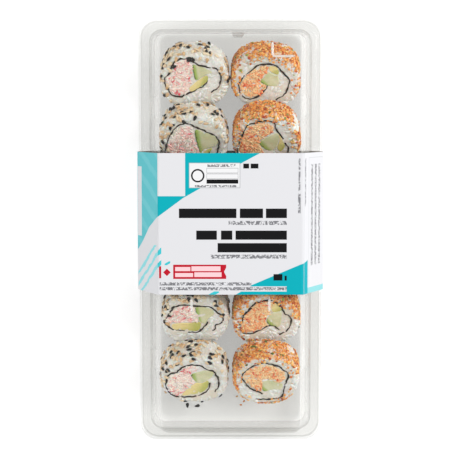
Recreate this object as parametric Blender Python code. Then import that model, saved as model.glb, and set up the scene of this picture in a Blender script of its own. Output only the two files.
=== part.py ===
"""Takeaway sushi tray: a shut pack of sliced rolls.

A low clear tray holds twelve slices in two rows. They lean like shingles towards the far end wall.
A clear lid closes over the tray's rim, and a folded card band goes round the shut pack.

Units are metres, +Z is up and the pack is long along Y. The origin is on the table under the middle of
the pack, and +Y points to the end wall that the slices lean on.
"""

from math import cos, pi, radians, sin

import bmesh
import bpy

# The pack from outside
PACK_WIDTH = 0.1050
PACK_LENGTH = 0.2430
CORNER_RADIUS = 0.0098
PLASTIC = 0.0006
GAP = 0.0003

# The card band
CARD = 0.0005
BAND_LENGTH = 0.0791
BAND_SHIFT = 0.0064
BAND_TOP_HALF = 0.0404
BAND_BASE_HALF = 0.0432
BAND_FOLD_RADIUS = 0.0012

# Heights above the table
TRAY_BASE = CARD + GAP
RIM_TOP = 0.0180
LIP_BOTTOM = 0.0142
LID_TOP = 0.0422

# The walls: where they meet the rim, drawn in from the outline, and how far they lean for each metre of height
RIM_INSET = 0.0068
LID_SIDE_SLOPE = 0.245
LID_END_SLOPE = 0.110
TRAY_SIDE_SLOPE = 0.150
TRAY_END_SLOPE = 0.100
RIM_STEP = 0.0007
RIM_STEP_INSET = 0.0034
RIM_EDGE = 0.0006
CORNER_TIGHTENS = 0.42
CORNER_STEPS = 5

# Lugs pressed out of the lid's long walls, and a half-round flute pressed into the lid's far end wall
LUG_Y = 0.0722
LUG_HALF = 0.0072
LUG_DEPTH = 0.0014
FLUTE_X = 0.0045
FLUTE_HALF = 0.0042
FLUTE_DEPTH = 0.0026
BUMP_STATIONS = (-1.0, -0.82, -0.60, 0.0, 0.60, 0.82, 1.0)

# Beads pressed up from the lid's top
BEAD_WIDTH = 0.0014
BEAD_RISE = 0.0003
STOP_X = 0.0218
STOP_Y = -0.0356
STOP_LENGTH = 0.0072
TAB_X = 0.0232
TAB_Y = 0.0994
TAB_LONG = 0.0125
TAB_SHORT = 0.0080
TAB_BEND = 0.0018

# The slices
ROWS = 6
COLUMN_X = 0.0204
SLICE_WIDTH = 0.0402
SLICE_DEPTH = 0.0392
SLICE_THICK = 0.0176
SLICE_EDGE = 0.0026
SLICE_LEAN = radians(33.0)
ROW_PITCH = 0.0341
FIRST_ROW_Y = 0.0895
OUTLINE_POWER = 2.35
OUTLINE_POINTS = 30
EDGE_STEPS = 3
FLOOR_GAP = 0.0003


def material(name, colour, roughness, alpha=1.0):
    """A plain Principled material; a clear one lets what is behind it show by its alpha."""
    made = bpy.data.materials.new(name)
    made.use_nodes = True
    shader = made.node_tree.nodes["Principled BSDF"]
    shader.inputs["Base Color"].default_value = (*colour, 1.0)
    shader.inputs["Roughness"].default_value = roughness
    shader.inputs["Metallic"].default_value = 0.0
    shader.inputs["Alpha"].default_value = alpha
    made.diffuse_color = (*colour, alpha)
    return made


def add_piece(name, shape, finish, smooth_below=35.0):
    """The finished bmesh as an object of its own, faces outwards, smooth where they turn less than smooth_below."""
    bmesh.ops.recalc_face_normals(shape, faces=shape.faces)
    mesh = bpy.data.meshes.new(name)
    shape.to_mesh(mesh)
    shape.free()
    mesh.shade_smooth()
    mesh.set_sharp_from_angle(angle=radians(smooth_below))
    mesh.materials.append(finish)
    piece = bpy.data.objects.new(name, mesh)
    bpy.context.collection.objects.link(piece)
    return piece


def swell(offset, half):
    """How much of a bump stands at this offset from its middle: 1 on its flat top, falling smoothly to 0 at half."""
    rise = min(max((1.0 - abs(offset) / half) / 0.4, 0.0), 1.0)
    return rise * rise * (3.0 - 2.0 * rise)


def outline(side_inset, end_inset, height, lug=0.0, flute=0.0):
    """One level of the pack: a rectangle with round corners, drawn in from the rim's edge by the two insets.

    Its long sides swell out at the lugs by lug, and its far end is pressed in at the flute by flute.
    """
    half_x = PACK_WIDTH / 2 - side_inset
    half_y = PACK_LENGTH / 2 - end_inset
    radius = CORNER_RADIUS - CORNER_TIGHTENS * (side_inset + end_inset) / 2
    points = []

    def corner(index, sign_x, sign_y):
        for step in range(CORNER_STEPS + 1):
            angle = (index + step / CORNER_STEPS) * pi / 2
            x = sign_x * (half_x - radius) + radius * cos(angle)
            y = sign_y * (half_y - radius) + radius * sin(angle)
            points.append((x, y, height))

    def long_side(sign_x):
        for middle in (-LUG_Y * sign_x, LUG_Y * sign_x):
            for station in BUMP_STATIONS:
                offset = station * LUG_HALF * sign_x
                out = lug * swell(offset, LUG_HALF)
                points.append((sign_x * (half_x + out), middle + offset, height))

    corner(0, 1, 1)
    for station in reversed(BUMP_STATIONS):
        offset = station * FLUTE_HALF
        pressed = flute * swell(offset, FLUTE_HALF)
        points.append((FLUTE_X + offset, half_y - pressed, height))
    corner(1, -1, 1)
    long_side(-1)
    corner(2, -1, -1)
    corner(3, 1, -1)
    long_side(1)
    return points


def loft(shape, levels, closed=False):
    """Faces between each level and the next; the first and last are capped unless the levels close on themselves."""
    rings = [[shape.verts.new(point) for point in level] for level in levels]
    pairs = list(zip(rings, rings[1:]))
    if closed:
        pairs.append((rings[-1], rings[0]))
    for low, high in pairs:
        count = len(low)
        for i in range(count):
            j = (i + 1) % count
            shape.faces.new((low[i], low[j], high[j], high[i]))
    if not closed:
        shape.faces.new(rings[0])
        shape.faces.new(rings[-1])


def thickened(path):
    """The path and, run back from its end, the same path moved down and in by the plastic's thickness.

    Each point moves along the mean of the normals of the stretches that meet there, over the cosine of
    half their turn, so the wall keeps its thickness. The normals are taken across the side inset and the
    height, and the end inset moves by as much as the side inset.
    """
    normals = []
    for here, there in zip(path, path[1:]):
        across = there[0] - here[0]
        up = there[2] - here[2]
        length = (across**2 + up**2) ** 0.5
        normals.append((up / length, -across / length))
    back = []
    for i, (side, end, height, lug, flute) in enumerate(path):
        before = normals[max(i - 1, 0)]
        after = normals[min(i, len(normals) - 1)]
        mean = (before[0] + after[0], before[1] + after[1])
        size = 2.0 * PLASTIC / (mean[0] ** 2 + mean[1] ** 2)
        back.append((side - mean[0] * size, end - mean[0] * size, height - mean[1] * size, lug, flute))
    return path + back[::-1]


def wall_point(height, side_slope, end_slope, lug=0.0, flute=0.0):
    """A point of a wall that leans in from the rim: up to the lid's top, or down to the tray's floor."""
    rise = abs(height - RIM_TOP)
    return (RIM_INSET + rise * side_slope, RIM_INSET + rise * end_slope, height, lug, flute)


def rim_path(edge_inset, height):
    """The rim outwards from the wall: an inner band, a small step down, an outer band and the lip turned down."""
    step = edge_inset + RIM_STEP_INSET
    section = [
        (RIM_INSET - RIM_EDGE, height),
        (step + RIM_EDGE, height),
        (step, height - RIM_STEP),
        (edge_inset + RIM_EDGE, height - RIM_STEP),
        (edge_inset, height - RIM_STEP - RIM_EDGE),
        (edge_inset, LIP_BOTTOM),
    ]
    return [(inset, inset, level, 0.0, 0.0) for inset, level in section]


def shell_levels(path):
    return [outline(*point) for point in path]


def make_tray(finish):
    """The tray: the path runs over its inner face, and the wall's thickness goes to its underside."""
    slopes = (TRAY_SIDE_SLOPE, TRAY_END_SLOPE)
    floor = TRAY_BASE + PLASTIC
    foot = wall_point(floor, *slopes)
    path = [(foot[0] + 0.0030, foot[1] + 0.0030, floor, 0.0, 0.0)]
    path.append((foot[0] + 0.0008, foot[1] + 0.0008, floor + 0.0008, 0.0, 0.0))
    path.append(wall_point(floor + 0.0030, *slopes))
    path.append(wall_point(RIM_TOP - 0.0008, *slopes))
    edge = PLASTIC + 0.0006
    path.extend(rim_path(edge, RIM_TOP))
    shape = bmesh.new()
    loft(shape, shell_levels(thickened(path)))
    return add_piece("tray", shape, finish)


def bead(shape, points):
    """A raised bead along points on the lid's top, with a low roof-shaped section sunk a little into the lid."""
    sunk = LID_TOP - PLASTIC / 2
    rows = []
    for i, (x, y) in enumerate(points):
        ahead = points[min(i + 1, len(points) - 1)]
        behind = points[max(i - 1, 0)]
        run_x, run_y = ahead[0] - behind[0], ahead[1] - behind[1]
        length = (run_x**2 + run_y**2) ** 0.5
        side_x, side_y = -run_y / length * BEAD_WIDTH / 2, run_x / length * BEAD_WIDTH / 2
        rows.append(
            [
                (x + side_x, y + side_y, sunk),
                (x + side_x * 0.55, y + side_y * 0.55, LID_TOP + BEAD_RISE * 0.8),
                (x - side_x * 0.55, y - side_y * 0.55, LID_TOP + BEAD_RISE * 0.8),
                (x - side_x, y - side_y, sunk),
            ]
        )
    loft(shape, rows)


def tab_bead():
    """The bent bead near the lid's far corner: down the short leg, round the bend and along the long leg."""
    points = [(TAB_X, TAB_Y + TAB_SHORT), (TAB_X, TAB_Y + TAB_BEND)]
    for step in range(1, 4):
        angle = pi + step / 4 * pi / 2
        points.append((TAB_X + TAB_BEND * (1 + cos(angle)), TAB_Y + TAB_BEND * (1 + sin(angle))))
    points += [(TAB_X + TAB_BEND, TAB_Y), (TAB_X + TAB_LONG, TAB_Y)]
    return points


def make_lid(finish):
    """The lid: the path runs over its outer face, and the beads on its top are joined to it."""
    slopes = (LID_SIDE_SLOPE, LID_END_SLOPE)
    shoulder = wall_point(LID_TOP, *slopes)
    path = [(shoulder[0] + 0.0016, shoulder[1] + 0.0016, LID_TOP, 0.0, 0.0)]
    path.append((shoulder[0] + 0.0005, shoulder[1] + 0.0005, LID_TOP - 0.0004, 0.0, 0.0))
    path.append(wall_point(LID_TOP - 0.0016, *slopes))
    path.append(wall_point(0.0365, *slopes))
    path.append(wall_point(0.0335, *slopes, LUG_DEPTH, FLUTE_DEPTH))
    path.append(wall_point(0.0235, *slopes, LUG_DEPTH, FLUTE_DEPTH))
    path.append(wall_point(0.0212, *slopes, 0.0, FLUTE_DEPTH))
    lid_rim = RIM_TOP + GAP + PLASTIC
    path.append(wall_point(lid_rim + 0.0009, *slopes))
    path.extend(rim_path(0.0, lid_rim))
    shape = bmesh.new()
    loft(shape, shell_levels(thickened(path)))
    lid = add_piece("lid", shape, finish)
    for points in (
        tab_bead(),
        [(STOP_X, STOP_Y), (STOP_X, STOP_Y - STOP_LENGTH)],
        [(-STOP_X, STOP_Y), (-STOP_X, STOP_Y - STOP_LENGTH)],
    ):
        join_bead(lid, points)
    return lid


def join_bead(lid, points):
    shape = bmesh.new()
    bead(shape, points)
    cutter = add_piece("bead", shape, lid.data.materials[0])
    cutter.hide_render = True
    cutter.display_type = "WIRE"
    union = lid.modifiers.new("bead", "BOOLEAN")
    union.operation = "UNION"
    union.solver = "EXACT"
    union.object = cutter


def band_corners():
    """The band's fold lines across the pack, on its inner face, anticlockwise from the right-hand lower one."""
    widest = PACK_WIDTH / 2 + GAP
    rim_height = RIM_TOP + GAP
    upper = (BAND_TOP_HALF, LID_TOP + GAP)
    lower = (BAND_BASE_HALF, CARD)
    right = [lower, (widest, LIP_BOTTOM), (widest, rim_height), upper]
    return right + [(-x, z) for x, z in reversed(right)]


def band_section(outwards):
    """The fold lines moved outwards, each rounded by an arc of three chords."""
    corners = band_corners()
    count = len(corners)
    moved = []
    for i, (x, z) in enumerate(corners):
        before = corners[i - 1]
        after = corners[(i + 1) % count]
        normals = []
        for (x0, z0), (x1, z1) in ((before, (x, z)), ((x, z), after)):
            length = ((x1 - x0) ** 2 + (z1 - z0) ** 2) ** 0.5
            normals.append(((z1 - z0) / length, -(x1 - x0) / length))
        mean = (normals[0][0] + normals[1][0], normals[0][1] + normals[1][1])
        size = 2.0 * outwards / (mean[0] ** 2 + mean[1] ** 2)
        moved.append((x + mean[0] * size, z + mean[1] * size))
    section = []
    for i, (x, z) in enumerate(moved):
        ends = []
        for other in (moved[i - 1], moved[(i + 1) % count]):
            run = (other[0] - x, other[1] - z)
            share = BAND_FOLD_RADIUS / (run[0] ** 2 + run[1] ** 2) ** 0.5
            ends.append((x + run[0] * share, z + run[1] * share))
        for step in range(4):
            t = step / 3
            weights = ((1 - t) ** 2, 2 * t * (1 - t), t**2)
            section.append(
                tuple(
                    weights[0] * ends[0][k] + weights[1] * (x, z)[k] + weights[2] * ends[1][k]
                    for k in range(2)
                )
            )
    return section


def make_band(finish):
    """The card band: one loop of card whose section is carried along the pack."""
    near = BAND_SHIFT - BAND_LENGTH / 2
    far = BAND_SHIFT + BAND_LENGTH / 2
    inner = band_section(0.0)
    outer = band_section(CARD)
    levels = []
    for section, y in ((inner, near), (outer, near), (outer, far), (inner, far)):
        levels.append([(x, y, z) for x, z in section])
    shape = bmesh.new()
    loft(shape, levels, closed=True)
    return add_piece("band", shape, finish)


def slice_outline(angle, uneven):
    """The distance from a slice's middle to its side: a squarish oval with low lumps of its own."""
    across = abs(cos(angle) / (SLICE_WIDTH / 2)) ** OUTLINE_POWER
    along = abs(sin(angle) / (SLICE_DEPTH / 2)) ** OUTLINE_POWER
    oval = (across + along) ** (-1.0 / OUTLINE_POWER)
    lumps = 0.014 * sin(2 * angle + uneven) + 0.010 * sin(3 * angle + 2.3 * uneven)
    return oval * (0.976 + lumps)


def make_slice(name, column_x, row, uneven, finish):
    """One slice: its outline carried through its thickness, with rounded edges, then leant back."""
    levels = []
    half = SLICE_THICK / 2
    profile = []
    for step in range(EDGE_STEPS + 1):
        turn = step / EDGE_STEPS * pi / 2
        profile.append((SLICE_EDGE * (1 - sin(turn)), half - SLICE_EDGE * (1 - cos(turn))))
    profile += [(inset, -height) for inset, height in reversed(profile)]
    lean = SLICE_LEAN + radians(0.7) * sin(1.7 * uneven)
    middle_y = FIRST_ROW_Y - row * ROW_PITCH
    for inset, height in profile:
        level = []
        for i in range(OUTLINE_POINTS):
            angle = 2 * pi * i / OUTLINE_POINTS
            reach = slice_outline(angle, uneven) - inset
            across, along = reach * cos(angle), reach * sin(angle)
            level.append(
                (
                    column_x + across,
                    middle_y + along * cos(lean) - height * sin(lean),
                    along * sin(lean) + height * cos(lean),
                )
            )
        levels.append(level)
    lowest = min(z for level in levels for _, _, z in level)
    lift = TRAY_BASE + PLASTIC + FLOOR_GAP - lowest
    levels = [[(x, y, z + lift) for x, y, z in level] for level in levels]
    shape = bmesh.new()
    loft(shape, levels)
    return add_piece(name, shape, finish)


def make_slices(seeded_finish, crumbed_finish):
    """Two rows of slices: rolled in sesame on the left, in orange crumb on the right."""
    for row in range(ROWS):
        make_slice(f"seeded_slice_{row + 1}", -COLUMN_X, row, 0.9 + 1.31 * row, seeded_finish)
        make_slice(f"crumbed_slice_{row + 1}", COLUMN_X, row, 2.2 + 1.77 * row, crumbed_finish)


for old in list(bpy.data.objects):
    bpy.data.objects.remove(old, do_unlink=True)

make_tray(material("clear tray", (0.86, 0.87, 0.86), 0.12, 0.30))
make_lid(material("clear lid", (0.90, 0.91, 0.90), 0.08, 0.18))
make_band(material("printed card", (0.82, 0.82, 0.84), 0.45))
make_slices(
    material("seeded rice", (0.66, 0.60, 0.50), 0.60),
    material("crumbed rice", (0.76, 0.34, 0.12), 0.60),
)
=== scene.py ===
"""Takeaway sushi tray: a shut clear pack of twelve sliced rolls with a card band round its middle."""

from math import cos, pi, radians, sin

import bpy
import numpy as np
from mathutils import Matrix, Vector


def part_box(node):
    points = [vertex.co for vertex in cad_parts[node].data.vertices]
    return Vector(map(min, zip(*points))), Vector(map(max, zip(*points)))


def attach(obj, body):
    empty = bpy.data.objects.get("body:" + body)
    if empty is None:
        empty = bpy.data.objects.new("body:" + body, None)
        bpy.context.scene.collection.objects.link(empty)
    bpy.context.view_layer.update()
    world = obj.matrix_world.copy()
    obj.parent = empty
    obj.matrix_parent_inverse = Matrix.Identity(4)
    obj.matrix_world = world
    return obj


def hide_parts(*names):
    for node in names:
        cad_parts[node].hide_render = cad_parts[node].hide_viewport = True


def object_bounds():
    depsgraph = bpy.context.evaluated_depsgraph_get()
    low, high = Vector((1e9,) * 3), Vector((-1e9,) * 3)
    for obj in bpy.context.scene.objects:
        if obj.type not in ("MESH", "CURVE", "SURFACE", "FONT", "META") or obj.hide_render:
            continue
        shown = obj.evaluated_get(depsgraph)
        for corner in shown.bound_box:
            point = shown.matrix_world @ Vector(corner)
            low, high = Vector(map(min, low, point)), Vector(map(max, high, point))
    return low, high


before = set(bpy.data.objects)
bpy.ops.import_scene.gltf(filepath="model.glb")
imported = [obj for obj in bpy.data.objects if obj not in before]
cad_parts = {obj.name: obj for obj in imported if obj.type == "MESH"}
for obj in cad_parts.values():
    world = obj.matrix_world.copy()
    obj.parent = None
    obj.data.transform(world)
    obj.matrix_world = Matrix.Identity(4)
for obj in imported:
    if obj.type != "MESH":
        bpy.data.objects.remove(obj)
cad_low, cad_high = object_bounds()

# ---------------------------------------------------------------------------------------------------
# The table, the light and the camera
# The shut pack stands on a plain white table in soft even light, seen from almost straight above, with
# the camera a little past the upright towards the far end, so that the slices' rolled sides show.

pack_middle = (cad_low + cad_high) / 2

scene = bpy.context.scene
scene.view_settings.view_transform = "Standard"

VIEW_DISTANCE = 0.850
VIEW_TILT = radians(5.0)
VIEW_WIDTH = 0.2705
SENSOR = 36.0
LOOKS_AT_Y = -0.0009

camera_data = bpy.data.cameras.new("overhead_camera")
camera_data.sensor_width = SENSOR
camera_data.lens = SENSOR * VIEW_DISTANCE / VIEW_WIDTH
camera = bpy.data.objects.new("overhead_camera", camera_data)
camera.location = (0.0, LOOKS_AT_Y + VIEW_DISTANCE * sin(VIEW_TILT), VIEW_DISTANCE * cos(VIEW_TILT))
camera.rotation_euler = (-VIEW_TILT, 0.0, 0.0)
scene.collection.objects.link(camera)
scene.camera = camera


def soft_lamp(name, power, size, place):
    """A square area lamp at place, turned to the middle of the pack."""
    lamp = bpy.data.lights.new(name, "AREA")
    lamp.energy = power
    lamp.size = size
    holder = bpy.data.objects.new(name, lamp)
    holder.location = place
    aim = pack_middle - holder.location
    holder.rotation_euler = aim.to_track_quat("-Z", "Y").to_euler()
    scene.collection.objects.link(holder)


soft_lamp("key_light", 17.0, 0.8, (1.15, 0.40, 0.85))
soft_lamp("fill_light", 8.5, 1.0, (-1.20, -0.10, 0.80))


def srgb(red, green, blue):
    """A display colour, 0 to 255, as linear light: dark parts over 12.92, the others to the 2.4 power."""
    shares = np.array([red, green, blue]) / 255
    light = np.where(shares <= 0.04045, shares / 12.92, ((shares + 0.055) / 1.055) ** 2.4)
    return (*light.tolist(), 1.0)


class Amount:
    """A number that changes over a surface. Sums on it read as sums, and each step adds one Math node."""

    def __init__(self, finish, socket):
        self.finish = finish
        self.socket = socket

    def sum(self, operation, *others):
        return self.finish.node("ShaderNodeMath", {"operation": operation}, [self, *others])

    def __add__(self, other):
        return self.sum("ADD", other)

    def __sub__(self, other):
        return self.sum("SUBTRACT", other)

    def __rsub__(self, other):
        return self.finish.node("ShaderNodeMath", {"operation": "SUBTRACT"}, [other, self])

    def __mul__(self, other):
        return self.sum("MULTIPLY", other)

    __radd__ = __add__
    __rmul__ = __mul__

    def near(self, middle, reach):
        """1 within reach of middle, else 0."""
        return self.sum("COMPARE", middle, reach)

    def over(self, edge):
        """1 above edge, else 0."""
        return self.sum("GREATER_THAN", edge)

    def most(self, other):
        return self.sum("MAXIMUM", other)

    def ramp(self, low, high):
        """0 below low, 1 above high and a smooth step between."""
        settings = {"interpolation_type": "SMOOTHSTEP"}
        values = {"Value": self, "From Min": low, "From Max": high}
        return self.finish.node("ShaderNodeMapRange", settings, values)


class Finish:
    """One material, built up from nodes."""

    def __init__(self, name):
        self.material = bpy.data.materials.new(name)
        self.material.use_nodes = True
        self.tree = self.material.node_tree
        self.tree.nodes.clear()

    def node(self, kind, settings=None, values=None, out=0):
        """One node: its settings, then each input's number or link by place or by name; gives output out."""
        made = self.tree.nodes.new(kind)
        for name, value in (settings or {}).items():
            setattr(made, name, value)
        pairs = values.items() if isinstance(values, dict) else enumerate(values or [])
        for name, value in pairs:
            if isinstance(value, Amount):
                self.tree.links.new(value.socket, made.inputs[name])
            else:
                made.inputs[name].default_value = value
        return Amount(self, made.outputs[out])

    def mix(self, factor, first, second):
        """The first colour where factor is 0 and the second where it is 1."""
        return self.node("ShaderNodeMix", {"data_type": "RGBA"}, {0: factor, 6: first, 7: second}, out=2)

    def place(self):
        """The point on the piece, in metres from the pack's origin."""
        return self.node("ShaderNodeTexCoord", out="Object")

    def noise(self, scale, detail=2.0, roughness=0.5, at=None):
        """Smooth noise from 0 to 1, about scale lumps to the metre."""
        values = {"Vector": at or self.place(), "Scale": scale, "Detail": detail, "Roughness": roughness}
        return self.node("ShaderNodeTexNoise", None, values)

    def attribute(self, name):
        """A number kept on the mesh's points."""
        return self.node("ShaderNodeAttribute", {"attribute_name": name}, out="Fac")

    def bump(self, height, distance, strength=1.0):
        """The normal of a surface raised by height, at most distance in metres."""
        values = {"Height": height, "Distance": distance, "Strength": strength}
        return self.node("ShaderNodeBump", None, values)

    def principled(self, values):
        return self.node("ShaderNodeBsdfPrincipled", None, values)

    def show(self, shader):
        """Puts the shader on the surface and gives the material."""
        output = self.tree.nodes.new("ShaderNodeOutputMaterial")
        self.tree.links.new(shader.socket, output.inputs["Surface"])
        return self.material


def backdrop_white(finish, surface, strength):
    """The surface and, only for rays that show it as a backdrop, some light of its own."""
    kinds = ("Camera", "Glossy", "Transmission")
    rays = [finish.node("ShaderNodeLightPath", out=f"Is {kind} Ray") for kind in kinds]
    shown = rays[0].most(rays[1]).most(rays[2])
    values = {"Color": (1.0, 1.0, 1.0, 1.0), "Strength": shown * strength}
    glow = finish.node("ShaderNodeEmission", None, values)
    return finish.node("ShaderNodeAddShader", None, [surface, glow])


def table_finish():
    """Matt white that also shines a little, so the table stays white and keeps only a faint shadow."""
    finish = Finish("white_table")
    paper = finish.node("ShaderNodeBsdfDiffuse", None, {"Color": (0.70, 0.70, 0.70, 1.0)})
    return finish.show(backdrop_white(finish, paper, 0.47))


TABLE_HALF = 3.0
TABLE_GAP = 0.0002
table_mesh = bpy.data.meshes.new("table")
table_corners = [(-1, -1), (1, -1), (1, 1), (-1, 1)]
table_points = [(x * TABLE_HALF, y * TABLE_HALF, -TABLE_GAP) for x, y in table_corners]
table_mesh.from_pydata(table_points, [], [(0, 1, 2, 3)])
table_mesh.materials.append(table_finish())
table = bpy.data.objects.new("table", table_mesh)
scene.collection.objects.link(table)

world = bpy.data.worlds.new("white_room")
scene.world = world
world.use_nodes = True
room = world.node_tree.nodes["Background"]
room.inputs["Color"].default_value = (1.0, 1.0, 1.0, 1.0)
ROOM_LIGHT = 0.60
room_rays = world.node_tree.nodes.new("ShaderNodeLightPath")
room_share = world.node_tree.nodes.new("ShaderNodeMath")
room_share.operation = "MULTIPLY_ADD"
room_share.inputs[1].default_value = 1.0 - ROOM_LIGHT
room_share.inputs[2].default_value = ROOM_LIGHT
world.node_tree.links.new(room_rays.outputs["Is Camera Ray"], room_share.inputs[0])
world.node_tree.links.new(room_share.outputs[0], room.inputs["Strength"])

# ---------------------------------------------------------------------------------------------------
# The tray
# A low tray of thin clear plastic, drawn down over a mould in one piece: a flat floor, walls that lean
# out, and a rim with a small step in it and its edge turned down.

PLASTIC = 0.0006
PACK_WIDTH = 0.1050
PACK_LENGTH = 0.2430
CORNER_RADIUS = 0.0098
CORNER_TIGHTENS = 0.42
RIM_TOP = 0.0180
RIM_INSET = 0.0068
RIM_STEP = 0.0007
RIM_STEP_INSET = 0.0034
LIP_BOTTOM = 0.0142
TRAY_SIDE_SLOPE = 0.150
TRAY_END_SLOPE = 0.100
LUG_Y = 0.0722
LUG_HALF = 0.0072
FLUTE_X = 0.0045
FLUTE_HALF = 0.0042


def pack_outline():
    """The stations round the pack, anticlockwise: each a corner's signs, a direction from that corner's
    centre and, on a straight side, how far along the side it lies."""
    corner_turns = np.linspace(0.0, pi / 2, 11)
    side_places = np.linspace(-0.98, 0.98, 25).round(6) * (PACK_LENGTH / 2 - 0.018)
    lug_places = np.linspace(-1.0, 1.0, 13) * LUG_HALF
    side_places = np.unique(np.concatenate([side_places, LUG_Y + lug_places, -LUG_Y - lug_places]))
    end_places = np.linspace(-0.95, 0.95, 11).round(6) * (PACK_WIDTH / 2 - 0.018)
    flute_places = np.linspace(-1.0, 1.0, 11) * FLUTE_HALF
    end_places = np.unique(np.concatenate([end_places, FLUTE_X + flute_places, -FLUTE_X - flute_places]))
    signs, ways, along = [], [], []
    sides = [end_places[::-1], side_places[::-1], end_places, side_places]
    for index, (sign_x, sign_y) in enumerate([(1, 1), (-1, 1), (-1, -1), (1, -1)]):
        turns = corner_turns + index * pi / 2
        signs.append(np.tile([sign_x, sign_y], (turns.size, 1)))
        ways.append(np.stack([np.cos(turns), np.sin(turns)], axis=1))
        along.append(np.full(turns.size, np.nan))
        side = sides[index]
        way = [(0, 1), (-1, 0), (0, -1), (1, 0)][index]
        signs.append(np.tile(way, (side.size, 1)))
        ways.append(np.tile(way, (side.size, 1)))
        along.append(side)
    return np.concatenate(signs), np.concatenate(ways), np.concatenate(along)


def swell(offset, half):
    """A bump's share of its height: 1 on its flat top, falling by a smooth step to 0 at half."""
    rise = np.clip((1.0 - np.abs(offset) / half) / 0.4, 0.0, 1.0)
    return rise * rise * (3.0 - 2.0 * rise)


def shell_surface(section):
    """A thin pack shell. Each row of section is one level: side inset, end inset, height, lug and flute.

    At a corner a point is the corner's centre plus the radius times its direction. On a straight side it
    lies at its station, closed up as the level narrows, moved out by the lug or in by the flute times
    their swell.
    """
    signs, ways, along = pack_outline()
    side_inset, end_inset, height, lug, flute = [column[:, None] for column in np.array(section).T]
    half_x = PACK_WIDTH / 2 - side_inset
    half_y = PACK_LENGTH / 2 - end_inset
    radius = np.maximum(CORNER_RADIUS - CORNER_TIGHTENS * (side_inset + end_inset) / 2, 0.0008)
    round_x = signs[:, 0] * (half_x - radius) + radius * ways[:, 0]
    round_y = signs[:, 1] * (half_y - radius) + radius * ways[:, 1]
    station = np.nan_to_num(along)
    room_x = np.maximum(half_x - radius, 0.0)
    room_y = np.maximum(half_y - radius, 0.0)
    on_end = ways[:, 1] != 0
    wall_radius = CORNER_RADIUS - CORNER_TIGHTENS * RIM_INSET
    stretch_x = room_x / (PACK_WIDTH / 2 - RIM_INSET - wall_radius)
    stretch_y = room_y / (PACK_LENGTH / 2 - RIM_INSET - wall_radius)
    bulge = lug * (swell(station - LUG_Y, LUG_HALF) + swell(station + LUG_Y, LUG_HALF))
    press = flute * swell(station - FLUTE_X, FLUTE_HALF) * (ways[:, 1] > 0)
    flat_x = np.where(on_end, station * stretch_x, ways[:, 0] * (half_x + bulge))
    flat_y = np.where(on_end, ways[:, 1] * (half_y - press), station * stretch_y)
    straight = ~np.isnan(along)
    x = np.where(straight, flat_x, round_x)
    y = np.where(straight, flat_y, round_y)
    z = np.broadcast_to(height, x.shape)
    return np.stack([x, y, z], axis=-1)


def wrap_faces(rows, columns, close_rows=False):
    """Four-cornered faces between neighbouring points of a grid whose columns go round and meet."""
    last = rows if close_rows else rows - 1
    row, column = np.meshgrid(np.arange(last), np.arange(columns), indexing="ij")
    after_row = (row + 1) % rows
    after_column = (column + 1) % columns
    corners = [row * columns + column, row * columns + after_column]
    corners += [after_row * columns + after_column, after_row * columns + column]
    return np.stack(corners, axis=-1).reshape(-1, 4)


def fan_faces(ring, pole, inwards):
    """Three-cornered faces from a ring of points to the one point that closes it."""
    following = np.roll(ring, -1)
    pair = (following, ring) if inwards else (ring, following)
    return np.stack([*pair, np.full(ring.size, pole)], axis=-1)


def enclosed(points, faces):
    """The volume the faces close in, below 0 if they look inwards: a sixth of the sum, over each face's fan
    of triangles, of its three corners' triple product."""
    total = 0.0
    middle = points.mean(axis=0)
    for group in faces:
        corners = points[group] - middle
        for step in range(1, group.shape[1] - 1):
            turned = np.cross(corners[:, step], corners[:, step + 1])
            total += (corners[:, 0] * turned).sum() / 6
    return total


def add_piece(name, points, faces, finishes, stands_for=(), values=None, part=None, smooth=True):
    """A mesh piece in its place, riding with the pack. values are numbers kept on its points, and part
    says which of its finishes each face takes."""
    points = np.asarray(points).reshape(-1, 3)
    if enclosed(points, faces) < 0:
        faces = [group[:, ::-1] for group in faces]
    mesh = bpy.data.meshes.new(name)
    mesh.from_pydata(points.tolist(), [], [face for group in faces for face in group.tolist()])
    mesh.validate()
    mesh.polygons.foreach_set("use_smooth", np.full(len(mesh.polygons), smooth))
    for finish in finishes:
        mesh.materials.append(finish)
    if part is not None:
        mesh.polygons.foreach_set("material_index", part)
    for key, numbers in (values or {}).items():
        mesh.attributes.new(key, "FLOAT", "POINT").data.foreach_set("value", numbers.astype(np.float32))
    mesh.update()
    piece = bpy.data.objects.new(name, mesh)
    scene.collection.objects.link(piece)
    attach(piece, "root")
    if stands_for:
        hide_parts(*stands_for)
    return piece


def thickened(path):
    """The path and, back from its end, the path moved down and in by the plastic's thickness: each point
    along the mean of its two stretches' normals, over the cosine of half their turn."""
    path = np.array(path)
    run = np.diff(path[:, [0, 2]], axis=0)
    run /= np.linalg.norm(run, axis=1, keepdims=True)
    normals = np.stack([run[:, 1], -run[:, 0]], axis=1)
    mean = np.concatenate([normals[:1], normals]) + np.concatenate([normals, normals[-1:]])
    move = mean * 2 * PLASTIC / (mean**2).sum(axis=1, keepdims=True)
    back = path.copy()
    back[:, 0] -= move[:, 0]
    back[:, 1] -= move[:, 0]
    back[:, 2] -= move[:, 1]
    return np.concatenate([path, back[::-1]])


def wall_level(height, slopes, lug=0.0, flute=0.0):
    """A level of a wall that leans in as it leaves the rim."""
    rise = abs(height - RIM_TOP)
    return (RIM_INSET + rise * slopes[0], RIM_INSET + rise * slopes[1], height, lug, flute)


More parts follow.
